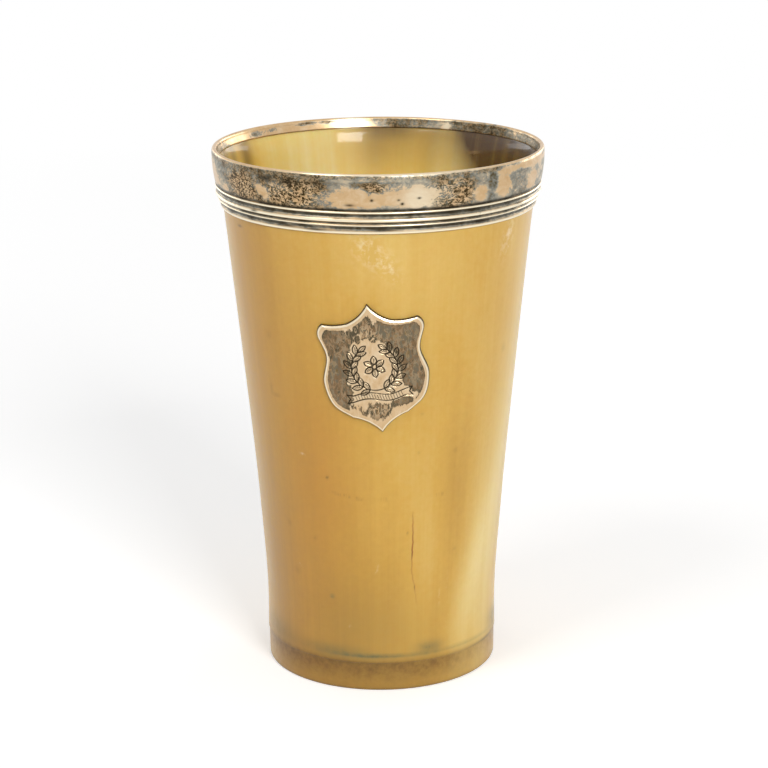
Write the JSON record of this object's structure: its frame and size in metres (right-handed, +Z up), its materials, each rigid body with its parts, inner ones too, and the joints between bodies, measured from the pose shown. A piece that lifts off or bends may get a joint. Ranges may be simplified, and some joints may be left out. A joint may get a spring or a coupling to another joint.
{
  "type": "horn drinking cup",
  "caption": "Tapered horn drinking cup with a flat foot, a reeded silver collar and rounded lip at the mouth, and a small silver shield on the front.",
  "frame": {"origin": "middle of the foot, on the plane that the cup stands on", "axes": "+Z up along the cup's axis, the shield faces -Y, +X to the right of someone facing the shield"},
  "size_m": [0.0782, 0.0782, 0.127],
  "materials": {
    "polished_horn": "steamed and polished cow horn, honey coloured, translucent",
    "horn_bottom": "turned and polished cow horn, brown",
    "silver_collar": "old silver, polished crests with dark tarnish",
    "silver_shield": "old silver, engraved, rubbed bright with dark tarnish"
  },
  "bodies": {
    "root": {"horn_wall": "polished_horn", "base_disc": "horn_bottom", "collar_band": "silver_collar", "lip_ring": "silver_collar", "reeded_moulding": "silver_collar", "shield_plate": "silver_shield", "shield_pins": "silver_shield"}
  },
  "joints": []
}
